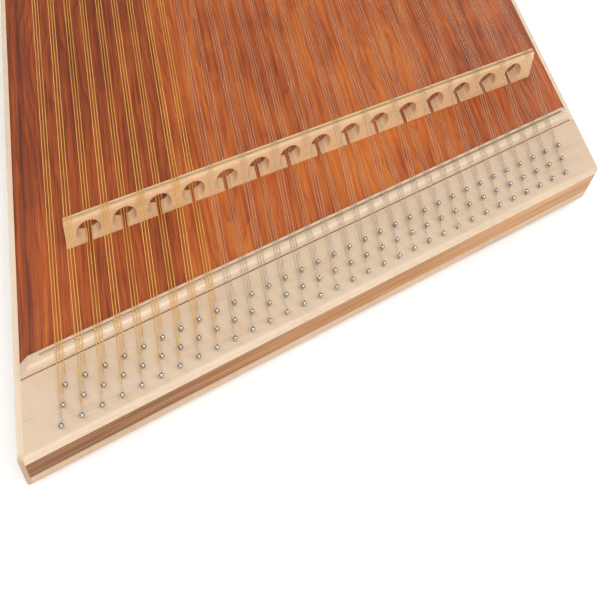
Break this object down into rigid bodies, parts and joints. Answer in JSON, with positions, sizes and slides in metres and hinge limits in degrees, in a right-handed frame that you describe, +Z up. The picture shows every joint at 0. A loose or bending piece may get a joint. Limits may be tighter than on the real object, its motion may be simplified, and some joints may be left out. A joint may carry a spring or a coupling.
{
  "type": "hammered dulcimer",
  "caption": "Trapezoid zither played with hammers: flat wooden body, two holed bridges, pin blocks at both slanted ends, and triple strings running lengthwise.",
  "frame": {"origin": "under the middle of the body, on the surface that the feet stand on", "axes": "+X along the strings towards the hitch-pin end, +Y from the long bass side to the short treble side, +Z up"},
  "size_m": [1.0772, 0.533, 0.0744],
  "materials": {
    "maple": "satin clear lacquer on pale maple",
    "base_maple": "satin clear lacquer on maple, slightly darker edge grain",
    "core_beech": "satin clear lacquer on laminated beech core",
    "cherry_soundboard": "satin oiled reddish cherry with streaked grain",
    "walnut_trim": "satin",
    "spruce": "bare planed wood",
    "steel_rod": "polished",
    "nickel": "polished nickel plate",
    "bronze_wire": "bright drawn wire",
    "steel_wire": "bright drawn wire",
    "rubber": "matt",
    "screw_steel": "zinc plated"
  },
  "bodies": {
    "instrument": {"long_rib": "maple", "short_rib": "maple", "hitch_block_cap": "maple", "hitch_block_core": "core_beech", "hitch_block_base": "base_maple", "tuning_block_cap": "maple", "tuning_block_core": "core_beech", "tuning_block_base": "base_maple", "back_plate": "spruce", "long_top_lining": "spruce", "short_top_lining": "spruce", "long_back_lining": "spruce", "short_back_lining": "spruce", "soundboard_bars": "spruce", "back_bars": "spruce", "soundboard": "cherry_soundboard", "rosette": "walnut_trim", "rosette_ring": "maple", "hitch_nut_moulding": "maple", "hitch_nut_rod": "steel_rod", "tuning_nut_moulding": "maple", "tuning_nut_rod": "steel_rod", "hitch_bridge": "maple", "hitch_bridge_rod": "steel_rod", "tuning_bridge": "maple", "tuning_bridge_rod": "steel_rod", "hitch_pins": "nickel", "tuning_pins": "nickel", "bronze_strings": "bronze_wire", "steel_strings": "steel_wire", "bronze_coils": "bronze_wire", "steel_coils": "steel_wire", "rubber_feet": "rubber", "foot_screws": "screw_steel"},
    "pin_1_inner": {"tuning_pin_1_inner": "nickel", "string_coil_1_inner": "bronze_wire"},
    "pin_1_middle": {"tuning_pin_1_middle": "nickel", "string_coil_1_middle": "bronze_wire"},
    "pin_1_outer": {"tuning_pin_1_outer": "nickel", "string_coil_1_outer": "bronze_wire"},
    "pin_2_inner": {"tuning_pin_2_inner": "nickel", "string_coil_2_inner": "bronze_wire"},
    "pin_2_middle": {"tuning_pin_2_middle": "nickel", "string_coil_2_middle": "bronze_wire"},
    "pin_2_outer": {"tuning_pin_2_outer": "nickel", "string_coil_2_outer": "bronze_wire"},
    "pin_3_inner": {"tuning_pin_3_inner": "nickel", "string_coil_3_inner": "bronze_wire"},
    "pin_3_middle": {"tuning_pin_3_middle": "nickel", "string_coil_3_middle": "bronze_wire"},
    "pin_3_outer": {"tuning_pin_3_outer": "nickel", "string_coil_3_outer": "bronze_wire"},
    "pin_4_inner": {"tuning_pin_4_inner": "nickel", "string_coil_4_inner": "bronze_wire"},
    "pin_4_middle": {"tuning_pin_4_middle": "nickel", "string_coil_4_middle": "bronze_wire"},
    "pin_4_outer": {"tuning_pin_4_outer": "nickel", "string_coil_4_outer": "bronze_wire"}
  },
  "joints": [
    {"name": "turn_pin_1_inner", "type": "hinge", "parent": "instrument", "child": "pin_1_inner", "pos_m": [-0.48292, -0.22662, 0.0485], "axis": [0, 0, -1], "range_deg": [-360, 90]},
    {"name": "turn_pin_1_middle", "type": "hinge", "parent": "instrument", "child": "pin_1_middle", "pos_m": [-0.4993, -0.22908, 0.0485], "axis": [0, 0, -1], "range_deg": [-360, 90]},
    {"name": "turn_pin_1_outer", "type": "hinge", "parent": "instrument", "child": "pin_1_outer", "pos_m": [-0.51568, -0.23153, 0.0485], "axis": [0, 0, -1], "range_deg": [-360, 90]},
    {"name": "turn_pin_2_inner", "type": "hinge", "parent": "instrument", "child": "pin_2_inner", "pos_m": [-0.47698, -0.21163, 0.0485], "axis": [0, 0, -1], "range_deg": [-360, 90]},
    {"name": "turn_pin_2_middle", "type": "hinge", "parent": "instrument", "child": "pin_2_middle", "pos_m": [-0.49336, -0.21407, 0.0485], "axis": [0, 0, -1], "range_deg": [-360, 90]},
    {"name": "turn_pin_2_outer", "type": "hinge", "parent": "instrument", "child": "pin_2_outer", "pos_m": [-0.50974, -0.21652, 0.0485], "axis": [0, 0, -1], "range_deg": [-360, 90]},
    {"name": "turn_pin_3_inner", "type": "hinge", "parent": "instrument", "child": "pin_3_inner", "pos_m": [-0.47104, -0.19662, 0.0485], "axis": [0, 0, -1], "range_deg": [-360, 90]},
    {"name": "turn_pin_3_middle", "type": "hinge", "parent": "instrument", "child": "pin_3_middle", "pos_m": [-0.48742, -0.19908, 0.0485], "axis": [0, 0, -1], "range_deg": [-360, 90]},
    {"name": "turn_pin_3_outer", "type": "hinge", "parent": "instrument", "child": "pin_3_outer", "pos_m": [-0.5038, -0.20153, 0.0485], "axis": [0, 0, -1], "range_deg": [-360, 90]},
    {"name": "turn_pin_4_inner", "type": "hinge", "parent": "instrument", "child": "pin_4_inner", "pos_m": [-0.4651, -0.18163, 0.0485], "axis": [0, 0, -1], "range_deg": [-360, 90]},
    {"name": "turn_pin_4_middle", "type": "hinge", "parent": "instrument", "child": "pin_4_middle", "pos_m": [-0.48148, -0.18407, 0.0485], "axis": [0, 0, -1], "range_deg": [-360, 90]},
    {"name": "turn_pin_4_outer", "type": "hinge", "parent": "instrument", "child": "pin_4_outer", "pos_m": [-0.49786, -0.18652, 0.0485], "axis": [0, 0, -1], "range_deg": [-360, 90]}
  ]
}
